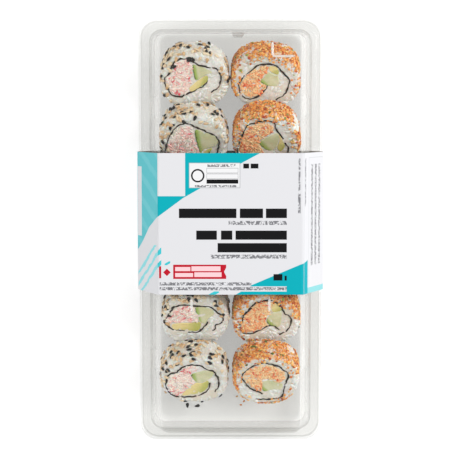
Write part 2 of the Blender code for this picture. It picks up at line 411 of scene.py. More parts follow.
def rounded(points, radius, steps=4):
    """The path with each inner corner of its section rounded: a quadratic curve between two points radius
    away from the corner, or a third of the way to the next one if that is nearer."""
    points = np.array(points)
    kept = [points[0]]
    for before, corner, after in zip(points, points[1:], points[2:]):
        ends = []
        for other in (before, after):
            gap = np.linalg.norm((other - corner)[[0, 2]])
            ends.append(corner + (other - corner) * min(radius / gap, 0.4))
        for t in np.linspace(0.0, 1.0, steps):
            kept.append((1 - t) ** 2 * ends[0] + 2 * t * (1 - t) * corner + t * t * ends[1])
    kept.append(points[-1])
    return np.array(kept)


def rim_levels(edge_inset, height):
    """The rim outwards from the wall: an inner band, a step down, an outer band and the turned-down lip."""
    step = edge_inset + RIM_STEP_INSET
    section = [(RIM_INSET, height), (step + 0.0005, height), (step, height - RIM_STEP)]
    section += [(edge_inset, height - RIM_STEP), (edge_inset, LIP_BOTTOM)]
    return [(inset, inset, level, 0.0, 0.0) for inset, level in section]


def closing_levels(edge, spacing, towards):
    """Levels that carry a flat floor or top on inwards from its edge, so that it isn't one big face."""
    count = int(towards // spacing)
    return [(edge[0] + i * spacing, edge[1] + i * spacing, edge[2], 0.0, 0.0) for i in range(count, 0, -1)]


def clear_plastic(name, haze, tint):
    """Clear thermoformed plastic. What is behind shows straight through; a share that grows as the sheet
    turns away from view is gloss, and a thin haze dulls what lies behind. At the rim the haze is greyer
    and stronger: painted shade that greys the flanges."""
    finish = Finish(name)
    drawn = finish.noise(28.0, 1.0)
    waves = finish.bump(drawn, 0.0006, 0.06)
    see = finish.node("ShaderNodeBsdfTransparent", None, {"Color": tint})
    height = finish.node("ShaderNodeSeparateXYZ", None, [finish.place()], out="Z")
    # A band at the rim's height is painted greyer and hazier: painted shade on the flanges.
    rim = height.near(RIM_TOP - 0.0012, 0.0028)
    body = finish.mix(rim, (0.93, 0.93, 0.92, 1.0), (0.56, 0.56, 0.55, 1.0))
    gloss = finish.principled({"Base Color": body, "Roughness": 0.09, "IOR": 2.2, "Normal": waves})
    turned = finish.node("ShaderNodeLayerWeight", None, {"Blend": 0.14}, out="Fresnel")
    share = turned * 0.34 + rim * 0.05 + haze
    return finish.show(finish.node("ShaderNodeMixShader", None, [share, see, gloss]))


tray_slopes = (TRAY_SIDE_SLOPE, TRAY_END_SLOPE)
tray_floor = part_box("tray")[0].z + PLASTIC
tray_foot = wall_level(tray_floor, tray_slopes)
tray_path = closing_levels(tray_foot, 0.0050, 0.0360)
tray_path += [tray_foot, wall_level(RIM_TOP, tray_slopes)]
tray_path += rim_levels(PLASTIC + 0.0006, RIM_TOP)[1:]
tray_levels = thickened(rounded(tray_path, 0.0024))
tray_points = shell_surface(tray_levels)


def closing_faces(ring):
    """Faces across a level, each joining two neighbouring stations to the two facing them; they start at the
    station furthest along the pack's middle line, where the two halves mirror each other."""
    _, ways, along = pack_outline()
    start = np.flatnonzero((along == 0) & (ways[:, 1] > 0))[0]
    steps = np.arange(ring.size // 2 + 1)
    left = ring[(start + steps) % ring.size]
    right = ring[(start - steps) % ring.size]
    across = np.stack([left[1:-2], left[2:-1], right[2:-1], right[1:-2]], axis=1)
    tips = [[left[0], left[1], right[1]], [left[-1], right[-2], left[-2]]]
    return [across, np.array(tips)]


def shell_faces(points):
    """The shell's faces: its grid, and its two ends closed across."""
    rows, columns = points.shape[:2]
    first = np.arange(columns)
    last = first + (rows - 1) * columns
    opened = [faces[:, ::-1] for faces in closing_faces(first)]
    return [wrap_faces(rows, columns), *opened, *closing_faces(last)]


clear_tray = clear_plastic("clear_tray_plastic", 0.020, (0.938, 0.938, 0.930, 1.0))
add_piece("tray_shell", tray_points, shell_faces(tray_points), [clear_tray], ["tray"])

# ---------------------------------------------------------------------------------------------------
# The rice
# Each slice is a disc of sticky white rice rolled round its filling, pressed oval by its neighbours and
# leant back on the next. The rice is one body right through, with the seaweed and fillings set in it.

ROWS = 6
SLICE_WIDTH = 0.0402
SLICE_DEPTH = 0.0392
SLICE_THICK = 0.0176
SLICE_EDGE = 0.0026
SLICE_LEAN = radians(33.0)
OUTLINE_POWER = 2.35
COAT_ROOM = 0.0007
FACE_ROOM = 0.0010


def lumps(points, size, seed):
    """Smooth random heights from -1 to 1: random numbers on a lattice of this size, blended between the
    eight lattice points round each point by smooth steps."""
    lattice = np.random.default_rng(seed).uniform(-1.0, 1.0, (32, 32, 32))
    place = np.asarray(points) / size
    cell = np.floor(place).astype(int)
    share = place - cell
    share = share * share * (3.0 - 2.0 * share)
    total = 0.0
    for corner in np.ndindex(2, 2, 2):
        weight = np.prod(np.where(corner, share, 1.0 - share), axis=-1)
        spot = (cell + corner) % 32
        total = total + weight * lattice[spot[..., 0], spot[..., 1], spot[..., 2]]
    return total


class Slice:
    """One slice's place: its middle, its width and depth directions and the way its cut face looks."""

    def __init__(self, kind, row):
        self.kind = kind
        self.row = row
        self.name = f"{kind}_slice_{row + 1}"
        self.seed = row + (10 if kind == "seeded" else 40)
        self.uneven = 0.9 + 1.31 * row if kind == "seeded" else 2.2 + 1.77 * row
        lean = SLICE_LEAN + radians(0.7) * sin(1.7 * self.uneven)
        low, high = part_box(self.name)
        self.middle = np.array((low + high) / 2)
        self.across = np.array([1.0, 0.0, 0.0])
        self.along = np.array([0.0, cos(lean), sin(lean)])
        self.face = np.array([0.0, -sin(lean), cos(lean)])

    def put(self, u, v, w):
        """The point u across, v along and w out of the middle of the slice."""
        flat = u[..., None] * self.across + v[..., None] * self.along
        return self.middle + flat + w[..., None] * self.face

    def rim(self, angle):
        """The slice's outline at an angle: an oval of this power, its reach changed a little by two slow
        waves, less the room kept for the coat."""
        way = np.stack([np.cos(angle), np.sin(angle)], axis=-1)
        spread = np.abs(way / (SLICE_WIDTH / 2, SLICE_DEPTH / 2)) ** OUTLINE_POWER
        oval = spread.sum(axis=-1) ** (-1.0 / OUTLINE_POWER)
        waves = 0.014 * np.sin(2 * angle + self.uneven) + 0.010 * np.sin(3 * angle + 2.3 * self.uneven)
        return way * (oval * (0.976 + waves) - COAT_ROOM)[..., None]

    def skin(self, angle, run):
        """Points and outward directions on the rolled skin. run goes from 0 in the middle of the side, over
        the quarter-round edge and on across the face; below 0 it goes the other way."""
        edge = self.rim(angle)
        ahead = self.rim(angle + 0.02) - self.rim(angle - 0.02)
        out = np.stack([ahead[..., 1], -ahead[..., 0]], axis=-1)
        out /= np.linalg.norm(out, axis=-1, keepdims=True)
        side = SLICE_THICK / 2 - FACE_ROOM - SLICE_EDGE
        way = np.sign(run)
        past = np.abs(run) - side
        turn = np.clip(past / SLICE_EDGE, 0.0, pi / 2)
        inwards = SLICE_EDGE * (1.0 - np.cos(turn)) + np.maximum(past - SLICE_EDGE * pi / 2, 0.0)
        level = way * (np.minimum(np.abs(run), side) + SLICE_EDGE * np.sin(turn))
        flat = edge - out * inwards[..., None]
        points = self.put(flat[..., 0], flat[..., 1], level)
        sideways = np.cos(turn)[..., None] * (out[..., :1] * self.across + out[..., 1:] * self.along)
        return points, sideways + (way * np.sin(turn))[..., None] * self.face

    def cover(self, points, angle):
        """How well the coat covers the skin, 0 to 1: best along the top, and patchy by slow lumps."""
        best, lean, patch = (0.27, 0.47, 0.34) if self.kind == "seeded" else (0.50, 0.40, 0.85)
        patches = lumps(points, 0.0075, self.seed + 31)
        return np.clip(best + lean * np.sin(angle - 0.3) + patch * patches, 0.0, 1.0)


SIDE_RUN = SLICE_THICK / 2 - FACE_ROOM - SLICE_EDGE
EDGE_RUN = SIDE_RUN + SLICE_EDGE * pi / 2
FACE_LEVEL = SIDE_RUN + SLICE_EDGE
slices = [Slice(kind, row) for kind in ("seeded", "crumbed") for row in range(ROWS)]


def rice_finish(name, sauce):
    """Cooked white rice: slightly translucent, its grains told apart by faint changes of colour. On a
    crumbed roll the skin is stained by the sauce between the crumbs."""
    finish = Finish(name)
    fine = finish.noise(420.0, 3.0, 0.6)
    broad = finish.noise(90.0, 2.0)
    white = finish.mix(fine.ramp(0.3, 0.7), srgb(216, 212, 204), srgb(242, 241, 237))
    white = finish.mix(broad.ramp(0.35, 0.75), white, srgb(225, 216, 198))
    skin = finish.attribute("skin")
    stain = srgb(232, 160, 88) if sauce else srgb(206, 190, 162)
    stained = skin * (broad.ramp(0.25, 0.65) * 0.5 + (0.5 if sauce else 0.1))
    colour = finish.mix(stained, white, stain)
    values = {"Base Color": colour, "Roughness": fine * 0.25 + 0.35, "Subsurface Weight": 0.15}
    values |= {"Subsurface Scale": 0.0015, "Specular IOR Level": 0.4}
    values |= {"Normal": finish.bump(fine, 0.0004, 0.5)}
    return finish.show(finish.principled(values))


rice_bodies = {
    "seeded": rice_finish("seeded_rice_body", False),
    "crumbed": rice_finish("crumbed_rice_body", True),
}


def rice_body(roll):
    """The disc: grid rows from the middle of one face over the side to the middle of the other, each point
    moved along its outward direction by fine and coarse lumps."""
    angle = np.linspace(0.0, 2 * pi, 120, endpoint=False)
    edge_runs = np.linspace(-EDGE_RUN, EDGE_RUN, 25)
    points, ways = roll.skin(angle[None, :], np.broadcast_to(edge_runs[:, None], (25, 120)))
    share = np.linspace(0.04, 0.96, 14)[:, None, None]
    caps = []
    for level, ring in ((-FACE_LEVEL, points[0]), (FACE_LEVEL, points[-1])):
        centre = roll.middle + level * roll.face
        caps.append(centre + (ring - centre) * share)
    grid = np.concatenate([caps[0], points, caps[1][::-1]])
    face_ways = np.broadcast_to(roll.face, caps[0].shape)
    ways = np.concatenate([-face_ways, ways, face_ways])
    height = 0.00022 * lumps(grid, 0.0021, roll.seed) + 0.00022 * lumps(grid, 0.0052, roll.seed + 1)
    grid = grid + ways * height[..., None]
    skin = np.where(np.abs((ways * roll.face).sum(axis=-1)) < 0.86, roll.cover(grid, angle[None]), 0.0)
    rows = grid.shape[0]
    poles = [grid[0].mean(axis=0), grid[-1].mean(axis=0)]
    faces = [wrap_faces(rows, 120)]
    faces.append(fan_faces(np.arange(120), rows * 120, True))
    faces.append(fan_faces(np.arange(120) + (rows - 1) * 120, rows * 120 + 1, False))
    all_points = np.concatenate([grid.reshape(-1, 3), poles])
    values = {"skin": np.concatenate([skin.ravel(), [0, 0]])}
    add_piece(f"{roll.name}_rice", all_points, faces, [rice_bodies[roll.kind]], [roll.name], values)


for roll in slices:
    rice_body(roll)

# ---------------------------------------------------------------------------------------------------
# The seaweed
# One sheet of dried seaweed rolled up with the filling: in each slice a thin dark ribbon that runs right
# through it in an open loop, its outer end curling into the rice.

SEAWEED_THICK = 0.00070
TENTH = 0.0001
SEAWEED_PATHS = {
    "seeded 1": "75,13 44,-27 -26,-67 -75,-94 -120,-89 -147,-51 -164,-12 -167,23 -144,54 -131,106 "
    "-98,145 -46,155 -2,132 45,111 101,94 133,76 149,31 137,-22 93,-67",
    "seeded 2": "91,-61 42,-107 -16,-139 -65,-158 -106,-145 -137,-118 -158,-85 -168,-53 -151,4 "
    "-133,53 -100,101 -47,130 13,106 76,77 125,43 140,-6 132,-57 103,-116",
    "seeded 5": "68,0 58,-29 16,-77 -33,-72 -99,-64 -127,-59 -155,-31 -174,0 -166,35 -145,70 "
    "-119,108 -78,126 -14,124 67,113 112,92 156,33 146,-5 122,-24 118,-54 98,-69",
    "seeded 6": "88,-20 75,-73 15,-117 -68,-132 -130,-118 -156,-78 -166,-20 -148,46 -101,65 -68,104 "
    "-31,123 26,115 75,88 115,65 136,9 131,-48 114,-88",
    "crumbed 1": "9,-22 -16,-71 -53,-97 -101,-106 -136,-85 -152,-42 -148,0 -114,52 -67,99 -19,116 "
    "53,110 82,71 123,29 130,-9 109,-71 57,-118",
    "crumbed 2": "17,-78 -48,-116 -105,-126 -146,-102 -166,-63 -154,5 -126,83 -111,114 -67,136 "
    "-19,148 31,137 53,93 89,34 119,-25 123,-73 103,-116 63,-138",
    "crumbed 5": "77,-61 43,-35 10,-35 -30,-67 -112,-95 -145,-70 -154,-35 -141,-4 -128,50 -97,93 "
    "-69,136 -25,156 32,158 81,117 103,61 130,45 141,1 122,-65 77,-101",
    "crumbed 6": "-19,-102 -79,-63 -126,-11 -141,37 -130,69 -81,114 -24,139 41,126 87,99 122,63 "
    "125,20 107,-48 97,-111 71,-135 5,-147 -58,-142",
}
PATTERNS = ["1", "2", "1", "6", "5", "6"]
CRUMBED_PATTERNS = ["1", "2", "5", "1", "5", "6"]


def flat_points(text):
    """Points written in tenths of a millimetre across and along a slice."""
    return np.array([[float(number) for number in pair.split(",")] for pair in text.split()]) * TENTH


def layout(table, roll):
    """The roll's outline from the table, or None. Rolls under the band repeat the others, a bit turned."""
    pattern = (PATTERNS if roll.kind == "seeded" else CRUMBED_PATTERNS)[roll.row]
    text = table.get(f"{roll.kind} {pattern}")
    if text is None:
        return None
    points = flat_points(text)
    turn = 0.07 * sin(5.0 * roll.row + roll.seed) if roll.row in (2, 3) else 0.0
    spin = np.array([[cos(turn), sin(turn)], [-sin(turn), cos(turn)]])
    return points @ spin


def smooth_curve(points, count, closed):
    """Evenly spaced points on a curve through these: each stretch is a cubic that leaves and reaches its
    points in the direction of their neighbours, sampled finely and then spaced evenly by length."""
    if closed:
        padded = np.concatenate([points[-1:], points, points[:2]])
    else:
        padded = np.concatenate([points[:1], points, points[-1:]])
    before, start, end, after = padded[:-3], padded[1:-2], padded[2:-1], padded[3:]
    t = np.linspace(0.0, 1.0, 12, endpoint=False)[:, None, None]
    first = (end - before) / 2
    last = (after - start) / 2
    curve = (2 * t**3 - 3 * t**2 + 1) * start + (t**3 - 2 * t**2 + t) * first
    curve = curve + (3 * t**2 - 2 * t**3) * end + (t**3 - t**2) * last
    curve = curve.transpose(1, 0, 2).reshape(-1, 2)
    curve = np.concatenate([curve, points[:1] if closed else points[-1:]])
    lengths = np.concatenate([[0.0], np.cumsum(np.linalg.norm(np.diff(curve, axis=0), axis=1))])
    wanted = np.linspace(0.0, lengths[-1], count, endpoint=not closed)
    return np.stack([np.interp(wanted, lengths, curve[:, axis]) for axis in (0, 1)], axis=1)


def seaweed_finish():
    finish = Finish("moist_seaweed")
    fibre = finish.noise(700.0, 3.0, 0.7)
    colour = finish.mix(fibre.ramp(0.35, 0.7), srgb(30, 22, 16), srgb(60, 46, 34))
    values = {"Base Color": colour, "Roughness": fibre * 0.3 + 0.5, "Specular IOR Level": 0.12}
    values["Normal"] = finish.bump(fibre, 0.0002, 0.5)
    return finish.show(finish.principled(values))


seaweed_skin = seaweed_finish()


def seaweed_line(roll):
    """The middle of the ribbon, crinkled: the smooth curve moved sideways by small lumps."""
    line = smooth_curve(layout(SEAWEED_PATHS, roll), 150, False)
    ahead = np.gradient(line, axis=0)
    ahead /= np.linalg.norm(ahead, axis=1, keepdims=True)
    side = np.stack([-ahead[:, 1], ahead[:, 0]], axis=1)
    flat = np.concatenate([line, np.zeros((line.shape[0], 1))], axis=1)
    crinkle = 0.0004 * lumps(flat, 0.0015, roll.seed + 3) + 0.0004 * lumps(flat, 0.0040, roll.seed + 4)
    return line + side * crinkle[:, None], ahead, side


def seaweed_ribbon(roll):
    """The ribbon: at each station a thin upright loop of eight points, its cut edges a bit ragged."""
    line, ahead, side = seaweed_line(roll)
    stations = line.shape[0]
    half = SEAWEED_THICK / 2
    offsets = np.array([-half, -half, -half, -half, half, half, half, half])
    flat = np.concatenate([line, np.zeros((stations, 1))], axis=1)
    top = FACE_LEVEL + 0.00030 + 0.00022 * lumps(flat, 0.0012, roll.seed + 5)
    levels = top[:, None] * np.array([-1.0, -0.6, 0.6, 1.0, 1.0, 0.6, -0.6, -1.0])
    thick = 1.0 + 0.7 * lumps(flat, 0.0020, roll.seed + 6)[:, None]
    u = line[:, :1] + side[:, :1] * offsets * thick
    v = line[:, 1:] + side[:, 1:] * offsets * thick
    points = roll.put(u, v, levels)
    first = np.arange(8)
    ends = [np.array([first[::-1]]), np.array([first + (stations - 1) * 8])]
    faces = [wrap_faces(stations, 8), *ends]
    add_piece(f"{roll.name}_seaweed", points, faces, [seaweed_skin], smooth=False)


for roll in slices:
    seaweed_ribbon(roll)

# ---------------------------------------------------------------------------------------------------
# The crab mix
# Shredded crab sticks in a little dressing, packed to one side of the loop. Plain pink and white in the
# seeded rolls, and stirred up with an orange chilli sauce in the crumbed ones.

CRAB_OUTLINES = {
    "seeded 1": "-90,144 -46,147 -14,123 -15,68 -11,16 -29,-22 -33,-65 -79,-86 -119,-81 -144,-46 "
    "-159,-8 -157,23 -136,50 -127,97 -108,132",
    "seeded 2": "-117,72 -47,117 -5,99 -1,43 17,-25 28,-69 -20,-128 -57,-150 -107,-139 -136,-113 "
    "-155,-83 -160,-53 -144,2",
    "seeded 5": "-120,92 -79,117 -6,115 2,76 14,22 9,-3 -122,-5 -140,-11 -163,3 -162,33 -143,60",
    "seeded 6": "-147,31 -97,56 -64,90 -31,112 16,108 14,71 -25,45 3,-14 -42,-56 -85,-115 -126,-110 "
    "-151,-66 -160,-20",
    "crumbed 1": "-39,103 4,105 2,66 -19,36 -42,4 2,-28 -12,-61 -53,-91 -101,-97 -132,-75 -145,-37 "
    "-143,-1 -114,43 -75,83",
    "crumbed 2": "-114,85 -67,122 -3,134 36,107 24,64 -11,38 -44,3 -23,-44 -22,-88 -64,-109 -113,-113 "
    "-146,-88 -161,-59 -153,-20 -137,39",
    "crumbed 5": "-65,129 -17,149 30,149 25,83 -5,12 4,-28 -32,-57 -112,-86 -140,-62 -144,-28 -124,39 "
    "-91,88",
    "crumbed 6": "-128,54 -79,103 -24,127 41,115 99,71 113,43 101,3 70,-16 43,13 -18,15 -27,-20 "
    "-28,-85 -71,-57 -104,-23 -123,9",
}

def packed_prism(roll, outline, rise, rough, seed, soft_edge=0.0006):
    """A filling that runs right through: its outline swept from face to face, rounded at the cut edges,
    with rows across each face to its middle, all moved by lumps of two sizes."""
    count = 96
    curve = smooth_curve(outline, count, True)
    middle = curve.mean(axis=0)
    top = FACE_LEVEL + rise
    out = curve - middle
    out /= np.linalg.norm(out, axis=1, keepdims=True)
    turns = np.linspace(0.0, pi / 2, 4)
    rows, levels = [], []
    for share in (0.12, 0.3, 0.48, 0.64, 0.78, 0.9):
        rows.append(middle + (curve - out * soft_edge - middle) * share)
        levels.append(top)
    for turn in turns:
        rows.append(curve - out * soft_edge * (1 - sin(turn)))
        levels.append(top - soft_edge * (1 - cos(turn)))
    rows = np.array(rows + rows[::-1])
    levels = np.array(levels + [-level for level in levels[::-1]])
    sharp = np.abs(levels) > top - soft_edge * 0.5
    levels = np.broadcast_to(levels[:, None], rows.shape[:2])
    points = roll.put(rows[..., 0], rows[..., 1], levels)
    uneven = rough * (0.6 * lumps(points, 0.0013, seed) + 0.5 * lumps(points, 0.0030, seed + 1))
    outwards = np.where(sharp[:, None, None], np.sign(levels)[..., None] * roll.face, 0.0)
    points = points + outwards * uneven[..., None]
    total = rows.shape[0]
    poles = [points[0].mean(axis=0), points[-1].mean(axis=0)]
    faces = [wrap_faces(total, count), fan_faces(np.arange(count), total * count, True)]
    faces.append(fan_faces(np.arange(count) + (total - 1) * count, total * count + 1, False))
    return np.concatenate([points.reshape(-1, 3), poles]), faces, curve


def ball(around, rings):
    """A unit ball long in x: rings of points between two poles."""
    polar = np.linspace(0.0, pi, rings + 2)[1:-1, None]
    turn = np.arange(around) * 2 * pi / around
    ring = [np.broadcast_to(np.cos(polar), (rings, around)), np.sin(polar) * np.cos(turn)]
    points = np.stack([*ring, np.sin(polar) * np.sin(turn)], axis=-1).reshape(-1, 3)
    faces = [wrap_faces(rings, around), fan_faces(np.arange(around), rings * around, True)]
    faces.append(fan_faces(np.arange(around) + (rings - 1) * around, rings * around + 1, False))
    return np.concatenate([points, [[1.0, 0.0, 0.0], [-1.0, 0.0, 0.0]]]), faces


def crossed(first, second):
    """The direction at right angles to both, one unit long."""
    across = np.cross(first, second)
    return across / np.linalg.norm(across, axis=-1, keepdims=True)


def strewn(shapes, faces, places, outward, headings, sizes):
    """Many small shapes as one mesh: each scaled, its long way turned to its heading and its top outward."""
    side = crossed(outward, headings)
    length = crossed(side, outward)
    local = shapes * sizes[:, None, :]
    points = places[:, None, :] + local[..., :1] * length[:, None, :]
    points = points + local[..., 1:2] * side[:, None, :] + local[..., 2:] * outward[:, None, :]
    offsets = (np.arange(places.shape[0]) * shapes.shape[-2])[:, None, None]
    return points, [(face[None] + offsets).reshape(-1, face.shape[1]) for face in faces]


def inside(outline, spots):
    """Whether each spot is inside the outline: a line from it crosses the outline an odd number of times."""
    start = outline
    end = np.roll(outline, -1, axis=0)
    u, v = spots[:, :1], spots[:, 1:]
    spans = (start[:, 1] > v) != (end[:, 1] > v)
    rise = np.where(end[:, 1] == start[:, 1], 1e-12, end[:, 1] - start[:, 1])
    meets = start[:, 0] + (v - start[:, 1]) * (end[:, 0] - start[:, 0]) / rise
    return (spans & (u < meets)).sum(axis=1) % 2 == 1


def hex_spots(pitch, jitter, random):
    """Spots on a grid of even triangles over a slice's face, each moved a little at random."""
    steps = np.arange(-16, 17)
    across, along = np.meshgrid(steps, steps)
    u = (across + (along % 2) * 0.5) * pitch
    v = along * pitch * 0.866
    spots = np.stack([u.ravel(), v.ravel()], axis=1)
    return spots + random.uniform(-jitter, jitter, spots.shape)


def crab_finish(name, colours):
    """Shredded crab: each shred takes its colour from its own tone, from pale flesh to the dyed outside."""
    finish = Finish(name)
    tone = finish.attribute("tone")
    speckle = finish.noise(900.0, 3.0, 0.7)
    pale, middle, deep = colours
    blend = tone * tone + (speckle - 0.5) * 0.6
    colour = finish.mix(blend.ramp(0.05, 0.70), pale, middle)
    colour = finish.mix(blend.ramp(0.72, 1.08), colour, deep)
    values = {"Base Color": colour, "Roughness": speckle * 0.3 + 0.3, "Subsurface Weight": 0.12}
    values |= {"Subsurface Scale": 0.0012, "Normal": finish.bump(speckle, 0.0003, 0.5)}
    return finish.show(finish.principled(values))


crab_mixes = {
    "seeded": crab_finish("plain_crab", (srgb(255, 240, 228), srgb(252, 192, 184), srgb(224, 70, 92))),
    "crumbed": crab_finish("spiced_crab", (srgb(255, 214, 160), srgb(249, 150, 94), srgb(212, 56, 38))),
}


def crab_filling(roll):
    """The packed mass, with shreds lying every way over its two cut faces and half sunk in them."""
    random = np.random.default_rng(roll.seed + 100)
    outline = layout(CRAB_OUTLINES, roll)
    points, faces, curve = packed_prism(roll, outline, 0.0001, 0.00045, roll.seed + 7)
    shred, shred_faces = ball(6, 5)
    parts, lists, tones = [points], list(faces), [0.45 + 0.45 * lumps(points, 0.0016, roll.seed + 8)]
    offset = points.shape[0]
    for way in (1.0, -1.0):
        spots = hex_spots(0.00140, 0.0006, random)
        inner = curve.mean(axis=0) + (curve - curve.mean(axis=0)) * 0.965
        spots = spots[inside(inner, spots)]
        count = spots.shape[0]
        level = way * (FACE_LEVEL + random.uniform(-0.0001, 0.00035, count))
        places = roll.put(spots[:, 0], spots[:, 1], level)
        bearing = random.uniform(0.0, 2 * pi, count)
        heading = np.cos(bearing)[:, None] * roll.across + np.sin(bearing)[:, None] * roll.along
        heading = heading + random.uniform(-0.15, 0.15, (count, 1)) * roll.face
        outward = np.broadcast_to(way * roll.face, (count, 3))
        sizes = np.stack([random.uniform(0.8, 1.8, count), random.uniform(0.36, 0.60, count)], axis=1)
        sizes = sizes * 0.001
        sizes = np.concatenate([sizes, random.uniform(0.25, 0.45, (count, 1)) * 0.001], axis=1)
        shapes = shred[None] * (1.0 + 0.18 * random.uniform(-1, 1, (count, shred.shape[0], 1)))
        made, made_faces = strewn(shapes, shred_faces, places, outward, heading, sizes)
        parts.append(made.reshape(-1, 3))
        lists += [face + offset for face in made_faces]
        offset += made.shape[0] * made.shape[1]
        tone = 0.52 + 0.32 * lumps(places, 0.0026, roll.seed + 9) + random.uniform(-0.42, 0.42, count)
        tones.append(np.repeat(np.clip(tone, 0.0, 1.0), shred.shape[0]))
    values = {"tone": np.concatenate(tones)}
    add_piece(f"{roll.name}_crab", np.concatenate(parts), lists, [crab_mixes[roll.kind]], (), values)


for roll in slices:
    crab_filling(roll)

# ---------------------------------------------------------------------------------------------------
# The cucumber
# A stick of cucumber beside the crab, cut lengthways with its dark skin left on one side, so that each
# slice shows pale watery flesh with a green edge.

CUCUMBER_OUTLINES = {
    "seeded 1": "-9,114 45,102 99,68 62,50 8,15 -5,59",
    "seeded 2": "4,80 60,72 131,36 126,-16 57,-43 33,-64",
    "seeded 5": "2,102 59,108 98,90 107,58 76,22 56,-14 29,0 16,38",
    "seeded 6": "-20,46 42,74 103,74 107,43 74,0 33,-16 6,-8",
    "crumbed 1": "10,66 53,46 67,47 65,-18 15,-23 -32,2 -13,36",
    "crumbed 2": "-39,0 7,41 61,67 69,25 55,-32 17,-56 -23,-34",
    "crumbed 5": "31,65 82,76 87,39 75,-39 19,-26 2,12",
    "crumbed 6": "-19,-5 11,6 60,-9 97,-25 88,-64 45,-66 -11,-82 -22,-48",
}

def cucumber_finish():
    """Pale green flesh, deeper towards the skin, with faint watery rays."""
    finish = Finish("cucumber")
    peel = finish.attribute("peel")
    fine = finish.noise(500.0, 3.0, 0.6)
    flesh = finish.mix(finish.noise(170.0).ramp(0.35, 0.7), srgb(206, 206, 160), srgb(222, 220, 184))
    deeper = finish.mix(peel.ramp(0.70, 0.90), flesh, srgb(160, 184, 88))
    colour = finish.mix((peel + (fine - 0.5) * 0.15).ramp(0.90, 0.97), deeper, srgb(84, 112, 44))
    values = {"Base Color": colour, "Roughness": fine * 0.3 + 0.2, "Subsurface Weight": 0.15}
    values |= {"Subsurface Scale": 0.002, "Normal": finish.bump(fine, 0.0002, 0.4)}
    return finish.show(finish.principled(values))


cucumber_flesh = cucumber_finish()
PEEL_TOWARDS = {"seeded": (-1.0, -0.15), "crumbed": (-0.75, -0.66)}


def stick_filling(roll, table, name, finish, rough, towards):
    """A firm stick, with a number on its points that grows from 0 at its far side to 1 at its skin side."""
    outline = layout(table, roll)
    if outline is None:
        return
    seed = roll.seed + (9 if name == "cucumber" else 13)
    points, faces, curve = packed_prism(roll, outline, 0.00025, rough, seed, 0.0004)
    away = points - roll.middle
    flat = (away * roll.across).sum(axis=-1) * towards[0] + (away * roll.along).sum(axis=-1) * towards[1]
    peel = (flat - flat.min()) / (flat.max() - flat.min())
    add_piece(f"{roll.name}_{name}", points, faces, [finish], (), {"peel": peel})


for roll in slices:
    way = PEEL_TOWARDS[roll.kind]
    stick_filling(roll, CUCUMBER_OUTLINES, "cucumber", cucumber_flesh, 0.00012, way)

# ---------------------------------------------------------------------------------------------------
# The avocado
# A soft wedge of ripe avocado tucked against the cucumber: buttery yellow, turning green towards what
# was its skin.

AVOCADO_OUTLINES = {
    "seeded 1": "-25,-61 -23,-27 61,43 75,16 44,-21 -5,-56",
    "seeded 2": "-9,-127 36,-73 96,-37 93,-57 46,-99",
    "seeded 5": "-137,-24 -106,-11 -24,-8 25,-5 31,-38 8,-68 -66,-64 -123,-56",
    "seeded 6": "-37,-60 8,-20 37,-23 77,-5 73,-57 40,-94 -18,-112 -76,-119",
    "crumbed 1": "15,102 55,100 70,61 54,52 20,74",
    "crumbed 2": "70,54 91,17 104,-25 82,-59 61,-40 72,20",
    "crumbed 5": "38,143 71,115 85,85 33,74",
}

def avocado_finish():
    finish = Finish("avocado")
    peel = finish.attribute("peel")
    fine = finish.noise(330.0, 3.0, 0.6)
    colour = finish.mix((peel + (fine - 0.5) * 0.4).ramp(0.25, 1.0), srgb(238, 218, 152), srgb(186, 188, 92))
    values = {"Base Color": colour, "Roughness": fine * 0.2 + 0.38, "Subsurface Weight": 0.12}
    values |= {"Subsurface Scale": 0.0015, "Normal": finish.bump(fine, 0.0002, 0.5)}
    return finish.show(finish.principled(values))


avocado_flesh = avocado_finish()
for roll in slices:
    way = (0.9, -0.4) if roll.kind == "seeded" else (0.7, -0.7)
    stick_filling(roll, AVOCADO_OUTLINES, "avocado", avocado_flesh, 0.0002, way)

# ---------------------------------------------------------------------------------------------------
# The rice grains
# Cooked short grains, stuck down all over the rice: flat on the cut faces, clear of the seaweed and the
# fillings, and flat on the rolled skin under the coat.


def grain_finish(kind, coated):
    """A grain is white and a little translucent, each one slightly brighter or warmer than the next. Those
    under the coat take some of its colour."""
    finish = Finish(f"{kind}_rice_grains")
    tone = finish.attribute("tone")
    stain = finish.attribute("stain")
    fine = finish.noise(600.0, 2.0)
    white = finish.mix(tone, srgb(228, 226, 219), srgb(248, 248, 246))
    colour = finish.mix(fine.ramp(0.45, 0.8) * 0.5, white, srgb(228, 218, 198))
    colour = finish.mix(stain * (fine.ramp(0.3, 0.6) * 0.4 + 0.6), colour, coated)
    values = {"Base Color": colour, "Roughness": fine * 0.25 + 0.28, "Subsurface Weight": 0.18}
    values |= {"Subsurface Scale": 0.0015, "Normal": finish.bump(fine, 0.0002, 0.4)}
    return finish.show(finish.principled(values))


def near_line(line, ahead, spots):
    """How far each spot is from the ribbon and which way the ribbon runs there."""
    gaps = np.linalg.norm(spots[:, None, :] - line[None], axis=-1)
    nearest = gaps.argmin(axis=1)
    return gaps.min(axis=1), ahead[nearest]


